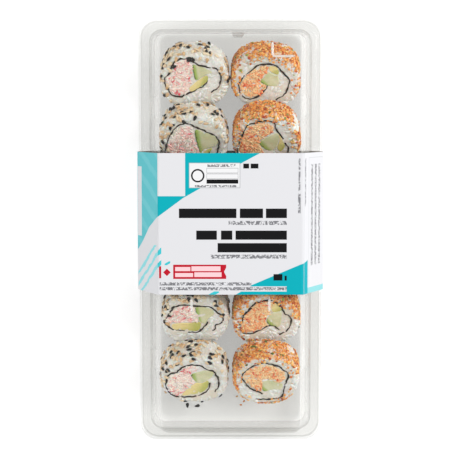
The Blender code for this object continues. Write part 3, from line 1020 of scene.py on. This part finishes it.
def face_grains(roll, way, random):
    """Places, outward ways and headings of the grains on one cut face."""
    spots = hex_spots(0.00255, 0.00075, random)
    rim = roll.rim(np.arctan2(spots[:, 1], spots[:, 0]))
    kept = np.linalg.norm(spots, axis=1) < np.linalg.norm(rim, axis=1) - 0.0022
    for table in (CRAB_OUTLINES, CUCUMBER_OUTLINES, AVOCADO_OUTLINES):
        outline = layout(table, roll)
        if outline is None:
            continue
        middle = outline.mean(axis=0)
        kept &= ~inside(middle + (outline - middle) * 1.12, spots)
    line, ahead, side = seaweed_line(roll)
    gap, run = near_line(line, ahead, spots)
    kept &= gap > 0.00155
    spots, gap, run = spots[kept], gap[kept], run[kept]
    count = spots.shape[0]
    bearing = random.uniform(0.0, 2 * pi, count)
    flat = np.stack([np.cos(bearing), np.sin(bearing)], axis=1)
    flat = np.where((gap < 0.0030)[:, None], run + 0.25 * flat, flat)
    places = roll.put(spots[:, 0], spots[:, 1], way * (FACE_LEVEL - random.uniform(0.0006, 0.0010, count)))
    heading = flat[:, :1] * roll.across + flat[:, 1:] * roll.along
    return places, np.broadcast_to(way * roll.face, (count, 3)), heading


def skin_spots(pitch, low, high, random):
    """Angles and runs spread evenly over a slice's skin between two runs, each moved a little at random."""
    rows = max(int((high - low) / (pitch * 0.866)), 1)
    columns = int(0.112 / pitch)
    run = (np.arange(rows) + 0.5)[:, None] / rows + random.uniform(-0.3, 0.3, (rows, columns)) / rows
    angle = (np.arange(columns)[None] + (np.arange(rows) % 2)[:, None] * 0.5) / columns
    angle = angle + random.uniform(-0.28, 0.28, (rows, columns)) / columns
    return angle.ravel() * 2 * pi, low + run.ravel() * (high - low)


def tangent(outward, random):
    """A random direction along the surface for each outward way."""
    return crossed(outward, random.normal(size=outward.shape))


def rice_grains(kind, stain_share, coated):
    """All the grains of a column of slices as one piece. stain_share is how much of the coat's colour the
    grains of the skin take, at most."""
    random = np.random.default_rng(3 if kind == "seeded" else 4)
    grain, grain_faces = ball(7, 4)
    places, outward, headings, stains = [], [], [], []
    for roll in slices:
        if roll.kind != kind:
            continue
        angle, run = skin_spots(0.0029, -EDGE_RUN + 0.0003, EDGE_RUN - 0.0003, random)
        spots, ways = roll.skin(angle, run)
        sunk = random.uniform(0.0006, 0.0010, angle.size)[:, None]
        groups = [(spots - ways * sunk, ways, tangent(ways, random))]
        groups += [face_grains(roll, 1.0, random), face_grains(roll, -1.0, random)]
        under_coat = np.abs(run) < EDGE_RUN - 0.0012
        taken = stain_share * random.uniform(0.5, 1.0, run.size) * roll.cover(spots, angle)
        stains.append(np.where(under_coat, taken, 0.0))
        stains.append(np.zeros(groups[1][0].shape[0] + groups[2][0].shape[0]))
        for spot, way, heading in groups:
            places.append(spot)
            outward.append(way)
            headings.append(heading)
    places, outward, headings = [np.concatenate(part) for part in (places, outward, headings)]
    count = places.shape[0]
    sizes = np.stack([random.uniform(2.2, 2.9, count), random.uniform(1.15, 1.45, count)], axis=1) * 0.001
    sizes = np.concatenate([sizes, random.uniform(0.95, 1.15, (count, 1)) * 0.001], axis=1)
    shapes = grain[None] * (1.0 + 0.05 * random.uniform(-1, 1, (count, grain.shape[0], 1)))
    points, faces = strewn(shapes, grain_faces, places, outward, headings, sizes)
    tone = np.repeat(random.uniform(0.0, 1.0, count), grain.shape[0])
    values = {"tone": tone, "stain": np.repeat(np.concatenate(stains), grain.shape[0])}
    add_piece(f"{kind}_rice_grains", points, faces, [grain_finish(kind, coated)], (), values)


rice_grains("seeded", 0.55, srgb(200, 180, 148))
rice_grains("crumbed", 0.95, srgb(232, 162, 92))

# ---------------------------------------------------------------------------------------------------
# The sesame
# Black and pale toasted sesame seeds pressed into the skin of the seeded rolls after rolling, some of
# them spilling over the cut edges.


def seed_finish(name, light, dark, rough):
    finish = Finish(name)
    tone = finish.attribute("tone")
    fine = finish.noise(1500.0, 2.0)
    colour = finish.mix((tone + (fine - 0.5) * 0.5).ramp(0.0, 1.0), dark, light)
    values = {"Base Color": colour, "Roughness": fine * 0.2 + rough, "Specular IOR Level": 0.25}
    values["Normal"] = finish.bump(fine, 0.0001, 0.5)
    return finish.show(finish.principled(values))


def sesame_shape(random, count):
    """Seeds: balls narrowed towards one end and flattened a little, no two quite alike."""
    seed, faces = ball(8, 5)
    taper = 1.0 - 0.42 * np.clip(seed[:, :1], -1.0, 1.0)
    seed = np.concatenate([seed[:, :1], seed[:, 1:] * taper], axis=1)
    return seed[None] * (1.0 + 0.05 * random.uniform(-1, 1, (count, seed.shape[0], 1))), faces


def sesame(name, finish, each, random, sunk):
    """Seeds lying on the skins where the coat covers them, their middles this far off the skin."""
    places, outward = [], []
    for roll in slices:
        if roll.kind != "seeded":
            continue
        angle = random.uniform(0.0, 2 * pi, each * 3)
        run = random.uniform(-EDGE_RUN - 0.001, EDGE_RUN + 0.0016, angle.size)
        spots, ways = roll.skin(angle, run)
        kept = np.flatnonzero(random.uniform(0.0, 1.0, angle.size) < roll.cover(spots, angle) + 0.03)[:each]
        lift = random.uniform(sunk, sunk + 0.0003, kept.size)
        places.append(spots[kept] + ways[kept] * lift[:, None])
        outward.append(ways[kept])
    places, outward = np.concatenate(places), np.concatenate(outward)
    count = places.shape[0]
    shapes, faces = sesame_shape(random, count)
    sizes = random.uniform(0.9, 1.1, (count, 1)) * np.array([[0.00155, 0.00088, 0.00044]])
    points, faces = strewn(shapes, faces, places, outward, tangent(outward, random), sizes)
    tone = np.repeat(random.uniform(0.0, 1.0, count), shapes.shape[1])
    add_piece(name, points, faces, [finish], (), {"tone": tone})


black_sesame = seed_finish("black_sesame", srgb(40, 34, 30), srgb(14, 12, 12), 0.42)
pale_sesame = seed_finish("pale_sesame", srgb(240, 222, 190), srgb(206, 164, 116), 0.40)
sesame("black_sesame", black_sesame, 40, np.random.default_rng(21), 0.0004)
sesame("pale_sesame", pale_sesame, 110, np.random.default_rng(22), 0.0003)

# ---------------------------------------------------------------------------------------------------
# The crumb coat
# Fried breadcrumbs coloured with chilli, rolled onto the outside of the crumbed rolls, with small flecks
# of green herb among them.


def crumb_finish():
    """Crumbs from pale gold through orange to red, each by its own tone."""
    finish = Finish("chilli_crumbs")
    tone = finish.attribute("tone")
    fine = finish.noise(1200.0, 3.0, 0.6)
    blend = tone + (fine - 0.5) * 0.3
    colour = finish.mix(blend.ramp(0.0, 0.5), srgb(248, 206, 124), srgb(234, 146, 56))
    colour = finish.mix(blend.ramp(0.60, 1.0), colour, srgb(178, 62, 24))
    values = {"Base Color": colour, "Roughness": fine * 0.3 + 0.45, "Normal": finish.bump(fine, 0.0002, 0.5)}
    return finish.show(finish.principled(values))


def crumbs(name, finish, each, size, random, spread):
    """Angular chips over the skins of the crumbed rolls, thinner where the coat has been rubbed away."""
    chip, chip_faces = ball(5, 2)
    places, outward = [], []
    for roll in slices:
        if roll.kind != "crumbed":
            continue
        angle = random.uniform(0.0, 2 * pi, each * 3)
        run = random.uniform(-EDGE_RUN - 0.0012, EDGE_RUN + spread, angle.size)
        spots, ways = roll.skin(angle, run)
        wanted = roll.cover(spots, angle)
        wanted = wanted * np.where(np.abs(run) > EDGE_RUN - 0.001, 0.26, 1.0)
        kept = np.flatnonzero(random.uniform(0.0, 1.0, angle.size) < wanted)[:each]
        lift = random.uniform(0.0001, 0.0006, kept.size)
        places.append(spots[kept] + ways[kept] * lift[:, None])
        outward.append(ways[kept])
    places, outward = np.concatenate(places), np.concatenate(outward)
    count = places.shape[0]
    shapes = chip[None] * (1.0 + 0.28 * random.uniform(-1, 1, (count, chip.shape[0], 1)))
    girth = random.uniform(0.45, 1.0, (count, 1)) ** 1.4 * size
    lengths = random.uniform(0.8, 1.3, count)
    sizes = girth * np.stack([lengths, np.ones(count), random.uniform(0.45, 0.75, count)], axis=1)
    points, faces = strewn(shapes, chip_faces, places, outward, tangent(outward, random), sizes)
    tone = np.repeat(random.uniform(0.0, 1.0, count), chip.shape[0])
    add_piece(name, points, faces, [finish], (), {"tone": tone}, smooth=False)


chilli_crumbs = crumb_finish()
green_flecks = seed_finish("herb_flecks", srgb(150, 160, 70), srgb(78, 96, 34), 0.45)
crumbs("chilli_crumbs", chilli_crumbs, 1550, 0.00088, np.random.default_rng(31), 0.0022)
crumbs("herb_flecks", green_flecks, 64, 0.0010, np.random.default_rng(32), 0.0022)

# ---------------------------------------------------------------------------------------------------
# The loose bits
# A few seeds and crumbs that have dropped onto the tray's floor at the near end. They are the same black
# sesame and chilli crumbs as on the rolls, and lie flat with nothing holding them.

SPILT_SEEDS = [(-0.0255, -0.1046), (-0.0197, -0.1049)]
SPILT_CRUMBS = [(0.0079, -0.1021), (0.0038, -0.0992), (0.0061, -0.1043)]


def spilt(name, finish, places, shapes, faces, size, random):
    """Small shapes lying on the tray's floor."""
    spots = np.array([(*place, tray_floor + size[2]) for place in places])
    outward = np.broadcast_to([0.0, 0.0, 1.0], spots.shape)
    sizes = np.broadcast_to(size, spots.shape)
    points, lists = strewn(shapes, faces, spots, outward, tangent(outward, random), sizes)
    tone = np.repeat(random.uniform(0.1, 0.6, len(places)), shapes.shape[1])
    add_piece(name, points, lists, [finish], (), {"tone": tone})


spill_random = np.random.default_rng(41)
spilt_seeds, seed_faces = sesame_shape(spill_random, len(SPILT_SEEDS))
seed_size = (0.0016, 0.0009, 0.0004)
spilt("spilt_seeds", black_sesame, SPILT_SEEDS, spilt_seeds, seed_faces, seed_size, spill_random)
chip, chip_faces = ball(5, 2)
chips = np.repeat(chip[None], len(SPILT_CRUMBS), axis=0)
crumb_size = (0.0008, 0.0006, 0.0004)
spilt("spilt_crumbs", chilli_crumbs, SPILT_CRUMBS, chips, chip_faces, crumb_size, spill_random)

# ---------------------------------------------------------------------------------------------------
# The lid
# The same clear plastic, pressed over the tray's rim. Lugs in its long walls and a flute in its far end
# wall stiffen it, and thin beads stand on its top: two that stop the card band, one bent near a corner.

LID_TOP = 0.0422
LID_SIDE_SLOPE = 0.245
LID_END_SLOPE = 0.110
LUG_DEPTH = 0.0014
FLUTE_DEPTH = 0.0026
GAP = 0.0003

lid_slopes = (LID_SIDE_SLOPE, LID_END_SLOPE)
lid_edge = wall_level(LID_TOP, lid_slopes)
lid_path = closing_levels(lid_edge, 0.0050, 0.0360)
lid_path += [lid_edge, wall_level(0.0365, lid_slopes)]
lid_path += [wall_level(height, lid_slopes, LUG_DEPTH, FLUTE_DEPTH) for height in (0.0335, 0.0235)]
lid_rim = RIM_TOP + GAP + PLASTIC
lid_path += [wall_level(0.0212, lid_slopes, 0.0, FLUTE_DEPTH)]
lid_path += rim_levels(0.0, lid_rim)
lid_points = shell_surface(thickened(rounded(lid_path, 0.0018)))

clear_lid = clear_plastic("clear_lid_plastic", 0.012, (0.977, 0.977, 0.972, 1.0))
add_piece("lid_shell", lid_points, shell_faces(lid_points), [clear_lid], ["lid"])

BEAD_WIDTH = 0.0014
BEAD_RISE = 0.0003
STOP_X = 0.0218
STOP_Y = (-0.0356, -0.0428)
TAB_X = 0.0232
TAB_Y = 0.0994
TAB_LONG = 0.0125
TAB_SHORT = 0.0080


BEAD_STATIONS = 40
BEAD_SIDES = 7


def bead(path):
    """A low rounded ridge along a line on the lid's top: at each station half an oval, its foot just under
    the top, narrowing to nothing much at both ends."""
    line = smooth_curve(np.array(path), BEAD_STATIONS, False)
    ahead = np.gradient(line, axis=0)
    ahead /= np.linalg.norm(ahead, axis=1, keepdims=True)
    turns = np.linspace(0.0, pi, BEAD_SIDES)
    share = np.linspace(0.0, 1.0, BEAD_STATIONS)
    full = np.sqrt(np.clip(np.minimum(share, 1.0 - share) * 12.0, 0.05, 1.0))[:, None]
    side = np.cos(turns) * full * BEAD_WIDTH / 2
    points = np.stack([line[:, :1] - ahead[:, 1:] * side, line[:, 1:] + ahead[:, :1] * side], axis=-1)
    level = LID_TOP - 0.0001 + np.sin(turns) * full * (BEAD_RISE + 0.0001)
    return np.concatenate([points, level[..., None]], axis=-1)


bead_paths = [[(x, STOP_Y[0]), (x, sum(STOP_Y) / 2), (x, STOP_Y[1])] for x in (-STOP_X, STOP_X)]
bend = 0.0018
first_end = np.arange(BEAD_SIDES)[None, ::-1]
last_end = np.arange(BEAD_SIDES)[None] + (BEAD_STATIONS - 1) * BEAD_SIDES
corner = [(TAB_X, TAB_Y + bend), (TAB_X + 0.3 * bend, TAB_Y + 0.3 * bend), (TAB_X + bend, TAB_Y)]
bead_paths.append([(TAB_X, TAB_Y + TAB_SHORT), *corner, (TAB_X + TAB_LONG, TAB_Y)])
beads = [bead(path) for path in bead_paths]
bead_faces = []
for index in range(len(beads)):
    offset = index * BEAD_STATIONS * BEAD_SIDES
    groups = [wrap_faces(BEAD_STATIONS, BEAD_SIDES), first_end, last_end]
    bead_faces += [group + offset for group in groups]
# The beads take a strong white haze: painted highlight, standing in for the glints of light along them.
beads_painted_highlight = clear_plastic("lid_beads_painted_highlight", 0.45, (0.99, 0.99, 0.985, 1.0))
add_piece("lid_beads", np.array(beads), bead_faces, [beads_painted_highlight])

# ---------------------------------------------------------------------------------------------------
# The card band
# One strip of thin printed card folded round the shut pack and glued to itself underneath, held between
# the lid's lugs. White outside with a printed panel, plain card inside.

CARD_STRIP = 0.0003
BAND_LENGTH = 0.0791
BAND_SHIFT = 0.0064
BAND_FOLD_RADIUS = 0.0012
BAND_BASE = 0.0437
BAND_SIDE = 0.0533
BAND_TOP = 0.0407
BAND_HIGH = float(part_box("band")[1].z)
GLUE_STEP = 0.00032


def folded_path():
    """The strip's outer face as seen from its end: from the glued end over the base, up one side, across
    the top and down round to the outer end, with every fold rounded off by a quadratic curve."""
    corners = [(-0.0100, GLUE_STEP), (0.0080, GLUE_STEP), (0.0120, 0.0), (BAND_BASE, 0.0)]
    corners += [(BAND_SIDE, LIP_BOTTOM)]
    corners += [(BAND_SIDE, 0.0186), (BAND_TOP, BAND_HIGH), (-BAND_TOP, BAND_HIGH), (-BAND_SIDE, 0.0186)]
    corners += [(-BAND_SIDE, LIP_BOTTOM), (-BAND_BASE, 0.0), (0.0060, 0.0)]
    spaced = [(x, 0.0, z) for x, z in corners]
    path = rounded(spaced, BAND_FOLD_RADIUS, 7)[:, [0, 2]]
    lengths = np.concatenate([[0.0], np.cumsum(np.linalg.norm(np.diff(path, axis=0), axis=1))])
    wanted = np.union1d(np.linspace(0.0, lengths[-1], 120), lengths)
    return np.stack([np.interp(wanted, lengths, path[:, 0]), np.interp(wanted, lengths, path[:, 1])], axis=1)


def band_strip():
    """The strip's grid: at each station eleven points across its outer face and eleven back across its
    inner face, with the distance round the section from the middle of the top kept for each."""
    path = folded_path()
    ahead = np.gradient(path, axis=0)
    ahead /= np.linalg.norm(ahead, axis=1, keepdims=True)
    inner = path + np.stack([-ahead[:, 1], ahead[:, 0]], axis=1) * CARD_STRIP
    y = BAND_SHIFT + np.linspace(-0.5, 0.5, 11) * BAND_LENGTH
    lengths = np.concatenate([[0.0], np.cumsum(np.linalg.norm(np.diff(path, axis=0), axis=1))])
    on_top = np.flatnonzero(path[:, 1] > BAND_HIGH - 0.0001)
    top_middle = np.interp(0.0, path[on_top][::-1, 0], lengths[on_top][::-1])
    rings = []
    for line, across in ((path, y), (inner, y[::-1])):
        x = np.broadcast_to(line[:, :1], (line.shape[0], 11))
        z = np.broadcast_to(line[:, 1:], x.shape)
        rings.append(np.stack([x, np.broadcast_to(across, x.shape), z], axis=-1))
    points = np.concatenate(rings, axis=1)
    round_way = np.broadcast_to((top_middle - lengths)[:, None], points.shape[:2])
    return points, round_way


PRINT_SPAN = 0.300
BACKGROUND = srgb(216, 216, 219)
TEAL = srgb(0, 166, 178)
# The paler teal of the left side panel: painted light, for the light that panel catches.
PAINTED_LIGHT_TEAL = srgb(92, 188, 196)
INK = srgb(16, 16, 18)
GREY_INK = srgb(120, 120, 124)
RED_INK = srgb(184, 22, 42)
TITLE_WORDS = [
    (-28.7, 3.3, 3.4, 8.7), (5.2, 18.1, 3.4, 8.7), (19.7, 31.4, 3.4, 8.7),
    (-19.1, -7.6, -8.7, -3.6), (-5.3, 1.0, -8.7, -3.6), (2.8, 31.4, -8.7, -3.6), (-7.2, 31.4, -15.8, -10.6),
    (7.1, 10.3, 31.0, 33.7), (11.2, 15.5, 31.0, 33.7),
    (24.0, 29.0, -31.6, -28.0), (30.2, 31.4, -31.6, -28.9),
]
FINE_LINES = [
    (-1.1, 31.4, -0.4, 1.8), (-11.2, 31.4, -19.3, -17.1),
    (-39.6, 11.8, -34.4, -32.6), (-39.6, 31.4, -37.1, -35.3),
    (-12.8, 2.8, 31.9, 33.3), (-19.8, 4.3, 20.6, 21.8), (37.6, 39.0, 6.1, 17.0), (37.8, 38.8, 18.5, 36.5),
    (42.2, 43.6, 10.0, 36.5), (50.5, 53.0, -24.0, 33.0),
    (55.5, 58.0, -24.0, 33.0), (60.5, 63.0, -24.0, 33.0),
]


class Sheet:
    """The flat card: u millimetres to the right of the top's middle line, v millimetres up from it."""

    def __init__(self, finish):
        self.finish = finish
        place = finish.node("ShaderNodeUVMap", {"uv_map": "print"})
        self.u = (finish.node("ShaderNodeSeparateXYZ", None, [place], out="X") - 0.5) * (PRINT_SPAN * 1000)
        self.v = (finish.node("ShaderNodeSeparateXYZ", None, [place], out="Y") - 0.5) * (PRINT_SPAN * 1000)
        self.colour = BACKGROUND

    def box(self, left, right, low, high):
        """1 inside the rectangle."""
        across = self.u.near((left + right) / 2, (right - left) / 2)
        return across * self.v.near((low + high) / 2, (high - low) / 2)

    def paint(self, mask, colour):
        """Lays a colour over what is there, where mask is 1."""
        self.colour = self.finish.mix(mask, self.colour, colour)

    def line_height(self, points):
        """The height, at u, of a line of straight stretches through these points."""
        height = points[0][1]
        for (start, low), (end, high) in zip(points, points[1:]):
            spread = {"From Min": start, "From Max": end, "To Min": 0.0, "To Max": high - low}
            height = self.finish.node("ShaderNodeMapRange", None, {"Value": self.u, **spread}) + height
        return height


def card_print():
    """The printed side: white with teal fields and brush strokes, plain blocks where words would be."""
    finish = Finish("printed_card")
    sheet = Sheet(finish)
    u, v = sheet.u, sheet.v
    mottle = finish.noise(160.0, 3.0, 0.6)
    sweep = [(-66.9, -16.0), (-60.5, -11.0), (-51.7, -2.5), (-39.8, 4.6)]
    sweep += [(-26.3, 14.6), (-17.0, 19.9), (5.0, 33.4), (17.1, 39.9)]
    in_sweep = (v - sheet.line_height(sweep)).over(0.0) * u.near(-28.0, 45.2)
    # Past the left fold the teal fields are painted paler, with streaks: painted light for the light the
    # left side panel catches.
    side = u.sum("LESS_THAN", -40.6)
    streak = ((u * 0.55 + v * 0.9) * 0.55 + mottle * 2.0).sum("SINE").ramp(0.1, 0.9)
    pale = finish.mix(streak * 0.5, PAINTED_LIGHT_TEAL, srgb(122, 200, 207))
    sheet.paint(in_sweep, finish.mix(side, TEAL, pale))
    slope = u * 0.80 - v
    brush = ((v * 0.79 - u * 0.61) * 1.20 + (mottle - 0.5) * 5.0).sum("SINE").over(0.35)
    reach = sheet.box(-67.0, -38.6, -39.8, -12.0) * (slope + mottle * 6.0).near(-12.6, 9.0)
    # The brush strokes on the left side panel are painted paler too: painted light.
    sheet.paint(brush * reach, finish.mix(side, srgb(60, 190, 200), srgb(140, 214, 220)))
    strokes = sheet.box(-36.8, -33.6, -23.0, -20.8) * (u * 0.6 - v).near(0.9, 0.75)
    strokes = strokes.most(sheet.box(-12.2, -6.4, -39.9, -37.7) * (u * 0.55 - v).near(33.8, 1.1))
    sheet.paint(strokes, srgb(60, 190, 200))
    rise = sheet.line_height([(-2.0, -42.6), (12.0, -34.1), (39.4, -22.5), (46.2, -20.6)])
    sheet.paint((rise - v).over(0.0) * u.near(22.3, 23.9), TEAL)
    sheet.paint(sheet.box(-2.0, 31.4, -37.8, -34.9), BACKGROUND)
    # A paler teal strip on the right side panel: painted light, as on the left side panel.
    sheet.paint(sheet.box(46.2, 68.0, -39.9, -36.3), srgb(140, 206, 210))
    sheet.paint(sheet.box(-40.7, -25.2, 15.6, 40.2), BACKGROUND)
    sheet.paint(sheet.box(-67.6, -61.9, -8.2, 31.3), BACKGROUND)
    sheet.paint(sheet.box(-23.1, 5.4, 20.1, 34.2), srgb(160, 162, 164))
    sheet.paint(sheet.box(-22.8, 5.1, 20.4, 33.9), srgb(228, 228, 229))
    for low in (28.4, 25.2):
        sheet.paint(sheet.box(-13.3, 4.3, low, low + 2.9), srgb(150, 150, 152))
        sheet.paint(sheet.box(-13.1, 4.1, low + 0.25, low + 2.65), srgb(228, 228, 229))
    sheet.paint(sheet.box(-13.3, 4.3, 22.6, 24.9), INK)
    away = ((u + 18.2).sum("POWER", 2.0) + (v - 27.0).sum("POWER", 2.0)).sum("SQRT")
    sheet.paint(away.near(3.3, 0.45), INK)
    words = [sheet.box(*word) for word in TITLE_WORDS]
    sheet.paint(joined_masks(words), INK)
    marks = finish.noise(1150.0, 2.0, 0.6).over(0.47)
    sheet.paint(joined_masks([sheet.box(*line) for line in FINE_LINES]) * marks, GREY_INK)
    notch = (u + (v + 26.7).sum("ABSOLUTE") * -0.5).sum("LESS_THAN", -3.6)
    ribbon = sheet.box(-32.0, -2.4, -30.7, -22.7) * notch
    sheet.paint(ribbon, RED_INK)
    rows = [sheet.box(-30.9, -22.4, -26.3, -24.0), sheet.box(-21.8, -5.6, -26.3, -23.6)]
    rows += [sheet.box(-30.9, -20.9, -29.6, -27.4), sheet.box(-20.2, -5.0, -29.6, -27.0)]
    sheet.paint(joined_masks(rows), srgb(240, 200, 204))
    sheet.paint(sheet.box(-39.9, -38.7, -30.3, -23.6), RED_INK)
    spot = ((u + 35.5).sum("ABSOLUTE") + (v + 27.0).sum("ABSOLUTE")).sum("LESS_THAN", 2.1)
    sheet.paint(spot, RED_INK)
    frame_lines = [(47.3, 47.7, -36.0, 37.0), (47.3, 67.0, 36.6, 37.0), (41.2, 41.5, -40.2, 40.2)]
    for left, right, low, high in frame_lines:
        sheet.paint(sheet.box(left, right, low, high), srgb(196, 198, 200))
    values = {"Base Color": sheet.colour, "Roughness": mottle * 0.08 + 0.50, "Specular IOR Level": 0.12}
    return finish.show(finish.principled(values))


def joined_masks(masks):
    """The largest of several masks."""
    total = masks[0]
    for mask in masks[1:]:
        total = total.most(mask)
    return total


def card_back():
    """Unprinted grey-white card."""
    finish = Finish("card_inside")
    pulp = finish.noise(900.0, 3.0)
    colour = finish.mix(pulp, srgb(212, 208, 198), srgb(224, 221, 212))
    return finish.show(finish.principled({"Base Color": colour, "Roughness": pulp * 0.1 + 0.7}))


band_points, band_round = band_strip()
stations = band_points.shape[0]
band_faces = [wrap_faces(stations, 22), np.arange(22)[None, ::-1], np.arange(22)[None] + (stations - 1) * 22]
outer_face = np.tile(np.arange(22) < 10, stations - 1)
band_part = np.concatenate([np.where(outer_face, 0, 1), [1, 1]])
card_sides = [card_print(), card_back()]
band_piece = add_piece("card_band", band_points, band_faces, card_sides, ["band"],
                       part=band_part, smooth=False)
corner_of = np.empty(len(band_piece.data.loops), dtype=np.int32)
band_piece.data.loops.foreach_get("vertex_index", corner_of)
sheet = np.stack([band_round.ravel(), band_points[..., 1].ravel() - BAND_SHIFT], axis=1) / PRINT_SPAN + 0.5
print_map = band_piece.data.uv_layers.new(name="print")
print_map.data.foreach_set("uv", sheet[corner_of].astype(np.float32).ravel())
